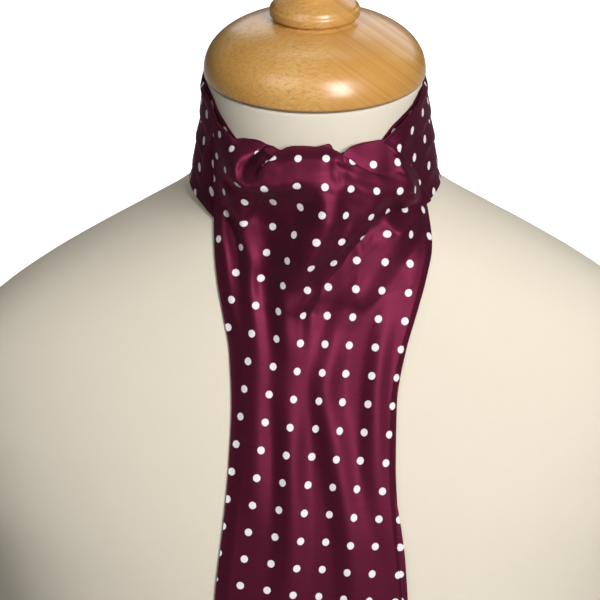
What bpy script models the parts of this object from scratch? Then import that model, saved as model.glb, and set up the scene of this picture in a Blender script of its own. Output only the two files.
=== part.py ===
"""A day cravat of silk, tied round the neck of a tailor's dress form.

The form is a padded neck and torso on an oval plinth, with a turned wooden neck cap and finial. The cravat is a
pleated neck band, a left and a right wrap that cross at the throat, a riser that comes up behind the crossing,
the top blade that falls over it, and the under blade beneath.

All sizes are in millimetres until point() turns them into metres. "Down" is the distance below the top of the
neck, "out" the distance in front of the neck's axis, and "across" runs to +X. A direction round the neck is in
degrees, counted from the front towards +X.
"""

import math
from collections import namedtuple

import bmesh
import bpy

MM = 0.001

# ---------------------------------------------------------------- driving sizes
PLINTH_HEIGHT = 20.0
TORSO_LENGTH = 520.0
NECK_TOP = PLINTH_HEIGHT + TORSO_LENGTH  # height of the neck's top above the table
SEAT_GAP = 0.3  # between pieces that rest on each other
CLOTH = 1.25  # two layers of silk and their interlining

CAP_RADIUS = 58.2
CAP_DOME = 30.0  # from the widest line up to the top
CAP_RIM = 3.0  # from the bottom up to the widest line
FINIAL_RADIUS = 23.6

Ring = namedtuple("Ring", "down half_width front back")
TORSO = [
    Ring(0, 56.6, 56.6, 56.6),
    Ring(25, 57.4, 56.8, 58.2),
    Ring(45, 59.2, 57.2, 62.0),
    Ring(58, 63.5, 59.0, 66.0),
    Ring(70, 78.0, 61.5, 72.0),
    Ring(84, 102, 64.5, 80.0),
    Ring(98, 127, 68.0, 87.0),
    Ring(112, 150, 72.5, 93.0),
    Ring(128, 172, 78.0, 98.0),
    Ring(145, 189, 84.0, 102),
    Ring(165, 200, 91.0, 105),
    Ring(190, 205, 99.0, 107),
    Ring(220, 202, 107, 108),
    Ring(255, 191, 113, 107),
    Ring(300, 177, 117, 102),
    Ring(350, 163, 116, 95),
    Ring(400, 152, 112, 89),
    Ring(450, 147, 108, 86),
    Ring(490, 149, 108, 90),
    Ring(520, 154, 110, 96),
]

# The band and the wraps: how far each stands off the neck. Its pleats overlap downwards like shingles.
Stand = namedtuple("Stand", "down inside outside")
BAND_STAND = [
    Stand(0, 0.5, 1.8),
    Stand(12, 1.2, 3.4),
    Stand(22, 1.6, 4.3),
    Stand(40, 3.1, 6.1),
    Stand(50, 2.2, 4.9),
    Stand(58, 1.1, 3.4),
    Stand(70, 1.0, 2.4),
]
PLEAT_EDGES = (4.0, 19.0, 33.0, 47.0)  # below the band's top edge
PLEAT_STEP = 0.9
PLEAT_FADE = 20.0  # degrees

Edge = namedtuple("Edge", "toward top bottom")  # the band's edges, by direction
BAND_EDGES = [
    Edge(-62, 13.0, 60),
    Edge(-67, 6.5, 59),
    Edge(-80, 2.6, 57),
    Edge(-100, 1.6, 56),
    Edge(-180, 2.4, 54),
    Edge(-260, 1.6, 56),
    Edge(-285, 2.2, 57),
    Edge(-293, 4.8, 58),
    Edge(-298, 7.4, 59),
]
LEFT_WRAP_EDGES = [
    Edge(-62, 13.0, 60),
    Edge(-55, 15.0, 62),
    Edge(-46, 17.8, 65),
    Edge(-38, 23.0, 68),
    Edge(-10, 34.0, 72),
    Edge(22, 46.0, 76),
]
RIGHT_WRAP_EDGES = [
    Edge(-6, 33.0, 64),
    Edge(8, 22.5, 62),
    Edge(14, 20.0, 61),
    Edge(25, 18.6, 60),
    Edge(33, 18.2, 60),
    Edge(42, 14.0, 59),
    Edge(54, 9.6, 59),
    Edge(62, 7.4, 59),
]

# The top blade: its top edge across the throat, its two side edges, and how it rolls forward over the crossing.
TOP_EDGE = [(-52.5, 12), (-44, 15.3), (-35, 15.5), (-27, 16.3), (-18.5, 18.4), (-9, 14.4), (0, 13.1), (7, 13.4)]
TOP_EDGE += [(12, 17.0), (19, 22.5), (28, 27), (37, 31), (46, 35.5), (54.5, 40)]
Side = namedtuple("Side", "down left right")
BLADE_SIDES = [
    Side(11, -52.5, 54.5),
    Side(40, -52.5, 54.5),
    Side(52, -52.5, 55.5),
    Side(62, -52.5, 60.0),
    Side(76, -52.0, 61.0),
    Side(90, -50.5, 58.0),
    Side(106, -47.5, 53.0),
    Side(125, -44.0, 47.0),
    Side(150, -43.0, 42.5),
    Side(180, -44.5, 42.0),
    Side(215, -48.0, 44.0),
    Side(250, -52.0, 47.0),
    Side(290, -54.0, 48.0),
]
BLADE_TIP = 326.0
BLADE_POINT = 52.0  # height of the pointed end
Roll = namedtuple("Roll", "below crest lap")
BLADE_ROLL = [
    Roll(0, 59.7, 68.5),
    Roll(0.7, 61.4, 69.4),
    Roll(2.2, 63.6, 70.6),
    Roll(5, 67.0, 72.4),
    Roll(10, 71.5, 74.4),
    Roll(18, 76.0, 76.8),
    Roll(31, 79.0, 79.0),
]
HALF_LEFT = 60.5
HALF_RIGHT = 67.0
CHEST_STAND = 4.1  # the top blade's outer side, off the form

# The folds of the top blade. Each runs through (across, down, lift) points, and reaches to its two sides.
Fold = namedtuple("Fold", "name left_reach right_reach path")
BLADE_FOLDS = [
    Fold("brow", 8, 9, [(-37, 35, 3), (-23, 30, 4), (-8, 27, 4), (4, 25, 3.5), (12, 22, 2)]),
    Fold("pocket", 6.5, 5.5, [(-19, 17, -3.5), (-25, 21, -7.5), (-31, 26, -9), (-34, 31, -6)]),
    Fold("pocket lip", 5.5, 6, [(-30, 19, 1), (-38, 25, 3), (-41, 31, 3.5), (-37, 37, 3.5)]),
    Fold("right brow", 7, 8, [(10, 24, 0), (25, 31, 3), (37, 35, 3.5), (50, 41, 2)]),
    Fold("left hollow", 11, 13, [(-9, 44, -4), (-9, 56, -8), (-13, 70, -7.5), (-17, 92, -5), (-20, 112, -1)]),
    Fold("left ridge", 8, 8, [(-38, 44, 1), (-33, 61, 4), (-27, 87, 4.5), (-25, 112, 3), (-27, 150, 1.5)]),
    Fold("left trough", 6, 6, [(-43, 50, -2), (-38, 66, -3.5), (-34, 84, -2.5), (-33, 100, -1)]),
    Fold("centre ridge", 9, 7, [(9, 24, 3.5), (10, 39, 8), (5, 57, 9), (-4, 77, 8), (-9, 99, 6), (-10, 131, 5)]),
    Fold("right trough", 7, 7, [(19, 42, -3), (13, 60, -7), (5, 80, -7), (-2, 98, -3)]),
    Fold("upper lobe", 9, 6, [(47, 45, 2), (30, 51, 4.5), (20, 63, 4), (11, 76, 2)]),
    Fold("crevice", 6, 7, [(55, 55, -4), (46, 51, -8), (34, 52, -9), (25, 63, -10), (14, 78, -8), (4, 96, -3)]),
    Fold("lower lobe", 9, 10, [(40, 62, 4), (31, 73, 5), (17, 88, 5.5), (5, 106, 5.5), (4, 135, 4)]),
    Fold("chest ridge left", 10, 12, [(-10, 131, 5), (-13, 170, 4), (-12, 215, 3), (-16, 262, 1.5)]),
    Fold("chest ridge right", 10, 13, [(4, 135, 4), (11, 175, 3.5), (19, 220, 3), (22, 270, 2)]),
    Fold("chest edge", 9, 9, [(34, 118, 1), (31, 160, 2.5), (35, 205, 1)]),
]
FOLD_FLOOR = 3.5  # nothing of the top blade comes closer to the form

UNDER_SIDES = [
    Side(86, -30, 34),
    Side(120, -31, 35),
    Side(170, -32, 38),
    Side(230, -38, 47),
    Side(300, -41, 51),
]
UNDER_TIP = 341.0
UNDER_STAND = 1.9


class Curve:
    """A smooth line through (position, value) rows that never overshoots between them."""

    def __init__(self, rows):
        rows = sorted(rows)
        self.at = [float(row[0]) for row in rows]
        self.value = [float(row[1]) for row in rows]
        gaps = [b - a for a, b in zip(self.at, self.at[1:])]
        rise = [(b - a) / g for a, b, g in zip(self.value, self.value[1:], gaps)]
        self.slope = [rise[0]]
        for before, after in zip(rise, rise[1:]):
            flat = before * after <= 0
            self.slope.append(0.0 if flat else 2 * before * after / (before + after))
        self.slope.append(rise[-1])

    def __call__(self, position):
        if position <= self.at[0]:
            return self.value[0]
        if position >= self.at[-1]:
            return self.value[-1]
        i = max(k for k, at in enumerate(self.at) if at <= position)
        gap = self.at[i + 1] - self.at[i]
        t = (position - self.at[i]) / gap
        return (
            (1 + 2 * t) * (1 - t) ** 2 * self.value[i]
            + t * (1 - t) ** 2 * gap * self.slope[i]
            + t * t * (3 - 2 * t) * self.value[i + 1]
            + t * t * (t - 1) * gap * self.slope[i + 1]
        )


def table_curves(rows, key, *names):
    """One Curve for each named column of a table, against its key column."""
    return [Curve([(getattr(row, key), getattr(row, name)) for row in rows]) for name in names]


form_half_width, form_front, form_back = table_curves(TORSO, "down", "half_width", "front", "back")
band_inside, band_outside = table_curves(BAND_STAND, "down", "inside", "outside")
top_edge = Curve(TOP_EDGE)
roll_crest, roll_lap = table_curves(BLADE_ROLL, "below", "crest", "lap")


def point(across, out, down):
    """A place in the part's frame, in metres: the front faces -Y."""
    return (across * MM, -out * MM, (NECK_TOP - down) * MM)


def at_angle(degrees, radius, down):
    angle = math.radians(degrees)
    return point(radius * math.sin(angle), radius * math.cos(angle), down)


def mix(a, b, share):
    return a + (b - a) * share


def ease(t):
    t = min(1.0, max(0.0, t))
    return t * t * (3 - 2 * t)


def soft_max(a, b, blend):
    """The larger of two distances, rounded off over blend where they meet."""
    share = min(1.0, max(0.0, 0.5 + 0.5 * (a - b) / blend))
    return b + (a - b) * share + blend * share * (1 - share) / 2


def spaced(start, end, count):
    return [mix(start, end, i / (count - 1)) for i in range(count)]


# ---------------------------------------------------------------- the form's surface
def form_radius(degrees, down):
    angle = math.radians(degrees)
    depth = form_front(down) if math.cos(angle) > 0 else form_back(down)
    return 1 / math.hypot(math.sin(angle) / form_half_width(down), math.cos(angle) / depth)


def form_out(across, down):
    share = min(0.995, abs(across) / form_half_width(down))
    return form_front(down) * math.sqrt(1 - share * share)


# ---------------------------------------------------------------- Blender helpers
def start_collection():
    for old in list(bpy.data.objects):
        bpy.data.objects.remove(old)
    collection = bpy.data.collections.new("silk_cravat")
    bpy.context.scene.collection.children.link(collection)
    return collection


def material(name, colour, roughness):
    made = bpy.data.materials.new(name)
    made.use_nodes = True
    shader = made.node_tree.nodes["Principled BSDF"]
    shader.inputs["Base Color"].default_value = (*colour, 1)
    shader.inputs["Roughness"].default_value = roughness
    return made


def shade(mesh, sharp_degrees=50):
    mesh.shade_smooth()
    mesh.set_sharp_from_angle(angle=math.radians(sharp_degrees))


def add_object(collection, name, bm, finish, sharp_degrees=50):
    """Turn a finished bmesh into an object with one material."""
    mesh = bpy.data.meshes.new(name)
    bm.to_mesh(mesh)
    bm.free()
    mesh.materials.append(finish)
    shade(mesh, sharp_degrees)
    made = bpy.data.objects.new(name, mesh)
    collection.objects.link(made)
    return made


def sheet_of(rows):
    """An open sheet through rows of points. Rows run down and points run to +X, so its faces look forward."""
    bm = bmesh.new()
    verts = [[bm.verts.new(p) for p in row] for row in rows]
    for upper, lower in zip(verts, verts[1:]):
        for i in range(len(upper) - 1):
            bm.faces.new((upper[i], lower[i], lower[i + 1], upper[i + 1]))
    return bm


def loft_of(loops):
    """A closed solid through closed loops of points, with a face at each end."""
    bm = bmesh.new()
    verts = [[bm.verts.new(p) for p in loop] for loop in loops]
    for first, second in zip(verts, verts[1:]):
        for i in range(len(first)):
            j = (i + 1) % len(first)
            bm.faces.new((first[i], first[j], second[j], second[i]))
    for end in (verts[0], verts[-1]):
        half = len(end) // 2
        for i in range(half - 1):  # an end is closed in strips, across from side to side
            a, b = end[i], end[i + 1]
            c, d = end[-2 - i], end[-1 - i]
            bm.faces.new((a, b, c, d))
    bmesh.ops.recalc_face_normals(bm, faces=bm.faces)
    return bm


def add_cloth(collection, name, rows, finish, thickness=CLOTH):
    """A sheet whose outer side passes through the rows, with the cloth's thickness behind it."""
    made = add_object(collection, name, sheet_of(rows), finish, sharp_degrees=80)
    wall = made.modifiers.new("wall", "SOLIDIFY")
    wall.thickness = thickness * MM
    wall.offset = -1
    wall.use_quality_normals = True
    return made


def add_turned(collection, name, profile, finish, steps=40):
    """A solid turned about the neck's axis from a (radius, down) profile that starts and ends on the axis."""
    bm = bmesh.new()
    verts = [bm.verts.new(point(radius, 0, down)) for radius, down in profile]
    for a, b in zip(verts, verts[1:]):
        bm.edges.new((a, b))
    made = add_object(collection, name, bm, finish)
    lathe = made.modifiers.new("lathe", "SCREW")
    lathe.steps = lathe.render_steps = steps
    lathe.use_merge_vertices = True
    lathe.merge_threshold = 0.00005
    lathe.use_smooth_shade = True
    return made


# ---------------------------------------------------------------- the dress form
def build_torso(collection, jersey):
    around = 40
    downs = [0, 20, 36, 47, 55, 62, 68, 74, 81, 89, 98, 108, 119, 131, 144, 159, 176]
    downs += [198, 225, 260, 305, 355, 410, 460, 495, 510, TORSO_LENGTH]
    loops = []
    for down in downs:
        tuck = 4.0 * ease((down - 500) / 20)  # the lower edge is turned under a little
        turns = [360 * (i + 0.5) / around for i in range(around)]
        loops.append([at_angle(turn, form_radius(turn, down) - tuck, down) for turn in turns])
    return add_object(collection, "form_torso", loft_of(loops), jersey)


def build_plinth(collection, wood):
    """An oval board under the torso, standing a little proud of it."""
    proud = 9.0
    foot = TORSO[-1]
    height = PLINTH_HEIGHT - SEAT_GAP
    bpy.ops.mesh.primitive_cylinder_add(vertices=48, radius=1.0, depth=height * MM)
    made = bpy.context.object
    made.name = "form_plinth"
    for other in list(made.users_collection):
        other.objects.unlink(made)
    collection.objects.link(made)
    made.location = (0, (foot.back - foot.front) / 2 * MM, height / 2 * MM)
    for vert in made.data.vertices:
        vert.co.x *= (foot.half_width + proud) * MM
        vert.co.y *= ((foot.front + foot.back) / 2 + proud) * MM
    made.data.materials.append(wood)
    edge = made.modifiers.new("rounded edge", "BEVEL")
    edge.width = 3.5 * MM
    edge.segments = 2
    shade(made.data)
    return made


def build_neck_cap(collection, wood):
    """A domed cap: rounded in under its widest line, flat below, with a flat seat for the finial."""
    seat = FINIAL_RADIUS - 2.5
    fullness = 2.5
    profile = [(0, -CAP_RIM - CAP_DOME)]
    for i in range(11):
        radius = mix(seat, CAP_RADIUS, math.sin(math.radians(9 * i)))
        rise = CAP_DOME * (1 - (radius / CAP_RADIUS) ** fullness) ** (1 / fullness)
        profile.append((radius, -CAP_RIM - rise if i else -CAP_RIM - CAP_DOME))
    profile += [(CAP_RADIUS - 0.5, -1.2), (CAP_RADIUS - 1.8, -SEAT_GAP), (0, -SEAT_GAP)]
    return add_turned(collection, "neck_cap", profile, wood, steps=40)


def build_finial(collection, wood):
    """A flange with rounded edges, a cove up to a narrow neck, and a ball with a small button."""
    foot = -CAP_RIM - CAP_DOME - SEAT_GAP
    Turn = namedtuple("Turn", "radius rise")
    shape = [
        Turn(5.0, 50.5),
        Turn(6.0, 48.5),
        Turn(5.6, 46.6),
        Turn(11.5, 44.2),
        Turn(15.4, 39.0),
        Turn(16.6, 33.0),
        Turn(15.2, 27.0),
        Turn(11.2, 22.2),
        Turn(9.6, 19.0),
        Turn(10.4, 15.4),
        Turn(14.0, 11.8),
        Turn(18.6, 9.4),
        Turn(21.6, 7.4),
        Turn(22.6, 5.6),
        Turn(FINIAL_RADIUS, 4.6),
        Turn(FINIAL_RADIUS, 1.2),
        Turn(FINIAL_RADIUS - 1.2, 0),
    ]
    profile = [(0, foot - shape[0].rise - 1.5)]
    profile += [(turn.radius, foot - turn.rise) for turn in shape]
    profile.append((0, foot))
    return add_turned(collection, "finial", profile, wood, steps=28)


# ---------------------------------------------------------------- the neck band and the wraps
def pleat_height(below):
    """The pleats' saw-tooth: each grows towards its lower folded edge and then drops to the next."""
    start = 0.0
    for edge in PLEAT_EDGES:
        if below <= edge:
            return PLEAT_STEP * (below - start) / (edge - start)
        start = edge
    return PLEAT_STEP * min(1.0, (below - start) / (PLEAT_EDGES[-1] - PLEAT_EDGES[-2]))


def pleat_fade(toward):
    """The pleats open out and flatten towards both ends of the band."""
    from_end = min(BAND_EDGES[0].toward - toward, toward - BAND_EDGES[-1].toward)
    return ease(from_end / PLEAT_FADE)


def band_radius(toward, down):
    """The outer side of the band, without its pleats. It flares a little more on the +X side."""
    flare = 1.0 * ease(math.sin(math.radians(toward))) * ease(down / 40)
    return form_radius(toward, down) + band_outside(down) + flare - PLEAT_STEP / 2


def build_neck_band(collection, silk):
    top, bottom = table_curves(BAND_EDGES, "toward", "top", "bottom")
    lap = 0.2  # the height over which one pleat drops to the next
    below_edges = [0.0, 1.2]
    for edge in PLEAT_EDGES:
        below_edges += [edge, edge + lap]
    below_edges += [11.0, 26.0, 40.0]
    below_edges.sort()
    loops = []
    for toward in spaced(BAND_EDGES[-1].toward + SEAT_GAP / 2, BAND_EDGES[0].toward - SEAT_GAP / 2, 31):
        start = top(toward)
        end = bottom(toward)
        outer = []
        inner = []
        for below in below_edges + [end - start]:
            down = start + below
            rounded = 0.7 if below in (0.0, end - start) else 0.0  # the folded edges are rounded
            inside = form_radius(toward, down) + band_inside(down)
            outside = band_radius(toward, down) + pleat_height(below) * pleat_fade(toward) - rounded
            outer.append(at_angle(toward, outside, down))
            inner.append(at_angle(toward, inside, down))
        loops.append(outer + inner[::-1])
    return add_object(collection, "cravat_neck_band", loft_of(loops), silk)


def left_wrap_radius(toward, down):
    """From the band's radius it draws in tight to the neck under the blade."""
    tight = max(60.4, form_radius(toward, down) + 1.9)
    return mix(band_radius(toward, down), tight, ease((toward + 62) / 26))


def right_wrap_radius(toward, down, below):
    """It bulges where it shows beside the blade, and draws in under it and at its own top edge."""
    tight = max(61.9, form_radius(toward, down) + 3.4)
    bulge = tight + 4.0 * ease(below / 11) * ease((60 - down) / 12)
    shown = mix(tight, bulge, ease((toward - 4) / 9))
    return mix(shown, band_radius(toward, down), ease((toward - 38) / 22))


def build_left_wrap(collection, silk):
    top, bottom = table_curves(LEFT_WRAP_EDGES, "toward", "top", "bottom")
    turns = spaced(LEFT_WRAP_EDGES[0].toward + SEAT_GAP / 2, LEFT_WRAP_EDGES[-1].toward, 16)
    rows = []
    for share in spaced(0, 1, 7):
        downs = [mix(top(turn), bottom(turn), share) for turn in turns]
        rows.append([at_angle(t, left_wrap_radius(t, d), d) for t, d in zip(turns, downs)])
    return add_cloth(collection, "cravat_left_wrap", rows, silk)


def build_right_wrap(collection, silk):
    top, bottom = table_curves(RIGHT_WRAP_EDGES, "toward", "top", "bottom")
    turns = spaced(RIGHT_WRAP_EDGES[0].toward, RIGHT_WRAP_EDGES[-1].toward - SEAT_GAP / 2, 20)
    rows = []
    for share in spaced(0, 1, 9):
        row = []
        for turn in turns:
            down = mix(top(turn), bottom(turn), share)
            row.append(at_angle(turn, right_wrap_radius(turn, down, down - top(turn)), down))
        rows.append(row)
    return add_cloth(collection, "cravat_right_wrap", rows, silk)


# ---------------------------------------------------------------- the blades
def fold_lift(fold, across, down):
    """How far one fold lifts the cloth at a place, by its distance from the fold's line."""
    nearest = None
    for (ax, ad, a_lift), (bx, bd, b_lift) in zip(fold.path, fold.path[1:]):
        run_x, run_d = bx - ax, bd - ad
        length = math.hypot(run_x, run_d)
        along = ((across - ax) * run_x + (down - ad) * run_d) / length**2
        along = min(1.0, max(0.0, along))
        off_x = across - mix(ax, bx, along)
        off_d = down - mix(ad, bd, along)
        distance = math.hypot(off_x, off_d)
        if nearest is None or distance < nearest[0]:
            side = (run_d * off_x - run_x * off_d) / (length * distance) if distance > 0 else 0.0
            nearest = (distance, side, mix(a_lift, b_lift, along))
    distance, side, lift = nearest
    reach = mix(fold.left_reach, fold.right_reach, 0.5 + 0.5 * side)
    fade = max(0.0, 1 - (distance / (1.6 * reach)) ** 2)
    return lift * fade**3


def throat_out(across, down):
    """The blade's plain surface at the throat: rolled over the crossing, and rounded to the sides."""
    below = max(0.0, down - top_edge(across))
    lap = max(ease((across - 8) / 8), ease((-across - 36) / 8))
    bulge = mix(roll_crest(below), roll_lap(below), lap)
    half = HALF_LEFT if across < 0 else HALF_RIGHT
    power = 2 + 0.3 * ease(below / 30)
    share = min(0.97, abs(across) / half)
    return bulge * (1 - share**power) ** (1 / power)


def top_blade_out(across, down):
    below = max(0.0, down - top_edge(across))
    plain = soft_max(throat_out(across, down), form_out(across, down) + CHEST_STAND, 7)
    lift = sum(fold_lift(fold, across, down) for fold in BLADE_FOLDS) * ease((below + 1) / 8)
    return soft_max(plain + lift, form_out(across, down) + FOLD_FLOOR, 1.5)


def under_blade_out(across, down):
    wave = 0.9 * (1 + math.cos(across / 7.5)) * ease((down - 150) / 60)
    return form_out(across, down) + UNDER_STAND + min(wave, 0.9) * 0.5


def pointed_end(share, tip, height):
    """The lower edge of a blade across its width: two straight lines that meet at the tip."""
    return tip - height * abs(2 * share - 1)


def blade_rows(sides, top_of, tip, height, columns, rows, surface):
    """Rows of points over a blade, evenly spaced between its side edges."""
    left, right = table_curves(sides, "down", "left", "right")
    made = []
    for drop in rows:
        row = []
        for share in spaced(0, 1, columns):
            start = top_of(share)
            down = mix(start, pointed_end(share, tip, height), drop)
            across = mix(left(down), right(down), share)
            row.append(point(across, surface(across, down), down))
        made.append(row)
    return made


def build_top_blade(collection, silk):
    first, last = TOP_EDGE[0][0], TOP_EDGE[-1][0]
    near = [0, 0.003, 0.0085, 0.0165] + spaced(0.026, 0.32, 31)  # close rows over the throat's folds
    far = spaced(0.36, 1.0, 13)
    rows = blade_rows(
        BLADE_SIDES,
        lambda share: top_edge(mix(first, last, share)),
        BLADE_TIP,
        BLADE_POINT,
        44,
        near + far,
        top_blade_out,
    )
    return add_cloth(collection, "cravat_top_blade", rows, silk)


def build_under_blade(collection, silk):
    rows = blade_rows(
        UNDER_SIDES,
        lambda share: UNDER_SIDES[0].down,
        UNDER_TIP,
        BLADE_POINT,
        13,
        spaced(0, 1, 18),
        under_blade_out,
    )
    return add_cloth(collection, "cravat_under_blade", rows, silk, thickness=1.1)


def build_riser(collection, silk):
    """The stretch that comes up between the neck and the wraps, and turns forward to meet the top blade."""
    Turn = namedtuple("Turn", "radius below")
    crest = [Turn(59.1, 0.1), Turn(58.3, 0.8), Turn(57.6, 2.4), Turn(57.5, 6.0), Turn(57.5, 12.0)]
    rows = []
    for turn in crest:
        row = []
        for across in spaced(-35, 9.5, 13):
            down = top_edge(across) + turn.below
            row.append(point(across, math.sqrt(turn.radius**2 - across**2), down))
        rows.append(row)
    rows.reverse()
    return add_cloth(collection, "cravat_riser", rows, silk, thickness=1.1)


def main():
    collection = start_collection()
    jersey = material("cream jersey", (0.76, 0.71, 0.60), 0.85)
    beech = material("varnished beech", (0.60, 0.33, 0.11), 0.35)
    silk = material("burgundy silk satin", (0.17, 0.018, 0.055), 0.42)
    build_torso(collection, jersey)
    build_plinth(collection, beech)
    build_neck_cap(collection, beech)
    build_finial(collection, beech)
    build_neck_band(collection, silk)
    build_left_wrap(collection, silk)
    build_right_wrap(collection, silk)
    build_riser(collection, silk)
    build_top_blade(collection, silk)
    build_under_blade(collection, silk)


main()
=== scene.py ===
import math

import bpy
import numpy as np
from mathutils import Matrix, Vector


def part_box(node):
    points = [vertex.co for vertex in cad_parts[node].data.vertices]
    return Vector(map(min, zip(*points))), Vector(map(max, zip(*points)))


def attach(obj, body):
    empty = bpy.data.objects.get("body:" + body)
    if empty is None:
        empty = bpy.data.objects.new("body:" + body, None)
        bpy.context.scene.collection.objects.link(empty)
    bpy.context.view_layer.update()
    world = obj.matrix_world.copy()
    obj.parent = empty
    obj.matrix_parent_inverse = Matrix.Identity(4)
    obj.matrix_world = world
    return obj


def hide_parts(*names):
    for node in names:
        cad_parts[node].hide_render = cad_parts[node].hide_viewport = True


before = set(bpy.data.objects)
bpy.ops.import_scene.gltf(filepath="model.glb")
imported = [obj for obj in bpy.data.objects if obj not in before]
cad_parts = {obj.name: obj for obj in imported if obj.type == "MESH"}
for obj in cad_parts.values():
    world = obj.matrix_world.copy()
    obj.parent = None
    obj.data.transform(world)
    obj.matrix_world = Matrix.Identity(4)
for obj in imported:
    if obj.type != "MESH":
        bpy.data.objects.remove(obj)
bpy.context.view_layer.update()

# Sizes are in millimetres until a mesh is made. "across" runs to +X, "out" is the distance in front of the
# neck's axis, "down" is the distance below the neck's top, and "toward" is a direction round the neck in
# degrees, from the front towards +X.
mm = 0.001
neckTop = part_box("form_torso")[1].z / mm
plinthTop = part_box("form_plinth")[1].z / mm


def report(stage):
    print("silk cravat:", stage)


def smoothThrough(rows):
    # a smooth line through (position, value) rows that never overshoots between them
    rows = sorted(rows)
    at = np.array([row[0] for row in rows], float)
    value = np.array([row[1] for row in rows], float)
    gap = np.diff(at)
    rise = np.diff(value) / gap
    level = rise[:-1] * rise[1:] <= 0
    total = np.where(level, 1.0, rise[:-1] + rise[1:])
    inner = np.where(level, 0.0, 2 * rise[:-1] * rise[1:] / total)
    slope = np.concatenate(([rise[0]], inner, [rise[-1]]))

    def read(position):
        position = np.clip(np.asarray(position, float), at[0], at[-1])
        i = np.clip(np.searchsorted(at, position, side="right") - 1, 0, len(gap) - 1)
        t = (position - at[i]) / gap[i]
        start = (1 + 2 * t) * (1 - t) ** 2 * value[i] + t * (1 - t) ** 2 * gap[i] * slope[i]
        return start + t * t * (3 - 2 * t) * value[i + 1] + t * t * (t - 1) * gap[i] * slope[i + 1]

    return read


def columnsOf(rows, *places):
    # a smooth line for each of these columns of a table, against its first
    return [smoothThrough([(row[0], row[place]) for row in rows]) for place in places]


def eased(t):
    t = np.clip(t, 0.0, 1.0)
    return t * t * (3 - 2 * t)


def rising(value, start, end):
    # goes smoothly from 0 to 1 while the value goes from start to end
    return eased((value - start) / (end - start))


def mixed(a, b, share):
    return a + (b - a) * share


def softMax(a, b, blend):
    share = np.clip(0.5 + 0.5 * (a - b) / blend, 0.0, 1.0)
    return b + (a - b) * share + blend * share * (1 - share) / 2


def smoothPath(points, step=1.5):
    # the same points with a smooth line run through them, a point every step along it
    points = np.array(points, float)
    far = np.concatenate(([0.0], np.cumsum(np.hypot(*np.diff(points[:, :2], axis=0).T))))
    reads = [smoothThrough(list(zip(far, points[:, k]))) for k in range(points.shape[1])]
    places = np.linspace(0, far[-1], max(3, int(far[-1] / step) + 1))
    return np.stack([read(places) for read in reads], -1)


def nearPath(path, across, down):
    # distance to a line, side of it (1 is +X of a line that runs down), what it carries, and the way to it
    shape = across.shape
    distance = np.full(shape, 1e9)
    side, wayAcross, wayDown = (np.zeros(shape) for _ in range(3))
    carried = np.zeros((path.shape[1] - 2,) + shape)
    for a, b in zip(path, path[1:]):
        runX, runD = b[0] - a[0], b[1] - a[1]
        length = math.hypot(runX, runD)
        along = np.clip(((across - a[0]) * runX + (down - a[1]) * runD) / length**2, 0, 1)
        offX = across - a[0] - runX * along
        offD = down - a[1] - runD * along
        here = np.maximum(np.hypot(offX, offD), 1e-6)
        near = here < distance
        distance[near] = here[near]
        side[near] = ((runD * offX - runX * offD) / (length * here))[near]
        wayAcross[near] = (-offX / here)[near]
        wayDown[near] = (-offD / here)[near]
        for k in range(len(carried)):
            carried[k][near] = mixed(a[2 + k], b[2 + k], along[near])
    return distance, side, carried, wayAcross, wayDown


def hump(distance, reach):
    # 1 on a fold's line, about a quarter at its reach and 0 from 1.6 times its reach on
    return np.maximum(0, 1 - (distance / (1.6 * reach)) ** 2) ** 3


def softFolds(folds, across, down):
    # ridges and troughs: each runs through (across, down, lift, reach to its left, reach to its right)
    lift = np.zeros(across.shape)
    for path in folds.values():
        distance, side, (height, leftReach, rightReach), _, _ = nearPath(smoothPath(path, 2.0), across, down)
        lift += height * hump(distance, mixed(leftReach, rightReach, 0.5 + 0.5 * side))
    return lift


def softened(field, times):
    # evens a grid of values out with its neighbours
    for _ in range(times):
        for way in (0, 1):
            field = np.swapaxes(field, 0, way)
            wide = np.concatenate([field[:1], field, field[-1:]])
            field = np.swapaxes((wide[:-2] + 2 * wide[1:-1] + wide[2:]) / 4, 0, way)
    return field


def drawnIn(over, distance, bend):
    # how far cloth that laps over a line by "over" moves towards it, most at a distance of one bend
    return over * distance / bend * np.exp(0.5 - 0.5 * (distance / bend) ** 2)


def lappedFolds(laps, across, down):
    # where cloth laps over itself: the high side comes forward over the line and the low side runs beneath it
    lift, moveAcross, moveDown = (np.zeros(across.shape) for _ in range(3))
    for lap in laps.values():
        path = smoothPath(lap["path"], 1.0)
        distance, side, (rise, over), wayAcross, wayDown = nearPath(path, across, down)
        signed = distance * np.sign(side) * lap["high"]
        highReach, lowReach = lap["reach"]
        up = eased(0.5 + signed / (2 * lap["bend"]))
        lift += rise * hump(signed, np.where(signed > 0, highReach, lowReach)) * (up - lap["dip"] * (1 - up))
        pull = drawnIn(over, distance, lap["bend"])
        moveAcross += pull * wayAcross
        moveDown += pull * wayDown
    return lift, moveAcross, moveDown


def inScene(name, data):
    thing = bpy.data.objects.new(name, data)
    bpy.context.scene.collection.objects.link(thing)
    return thing


def meshPiece(name, points, faces, look, flat=None):
    # points in millimetres; flat is the cloth's own flat coordinates at every point
    mesh = bpy.data.meshes.new(name)
    mesh.from_pydata((np.asarray(points) * mm).tolist(), [], [list(map(int, face)) for face in faces])
    mesh.materials.append(look)
    if flat is not None:
        layer = mesh.uv_layers.new(name="cloth")
        corners = np.zeros(len(mesh.loops), np.int32)
        mesh.loops.foreach_get("vertex_index", corners)
        layer.data.foreach_set("uv", (np.asarray(flat)[corners] * mm).astype(np.float32).ravel())
    mesh.shade_smooth()
    return inScene(name, mesh)


def welded(piece):
    # closes a seam where points lie at the same place
    weld = piece.modifiers.new("closed seam", "WELD")
    weld.merge_threshold = 0.00001


def unit(vectors):
    return vectors / np.maximum(np.linalg.norm(vectors, axis=-1, keepdims=True), 1e-9)


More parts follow.
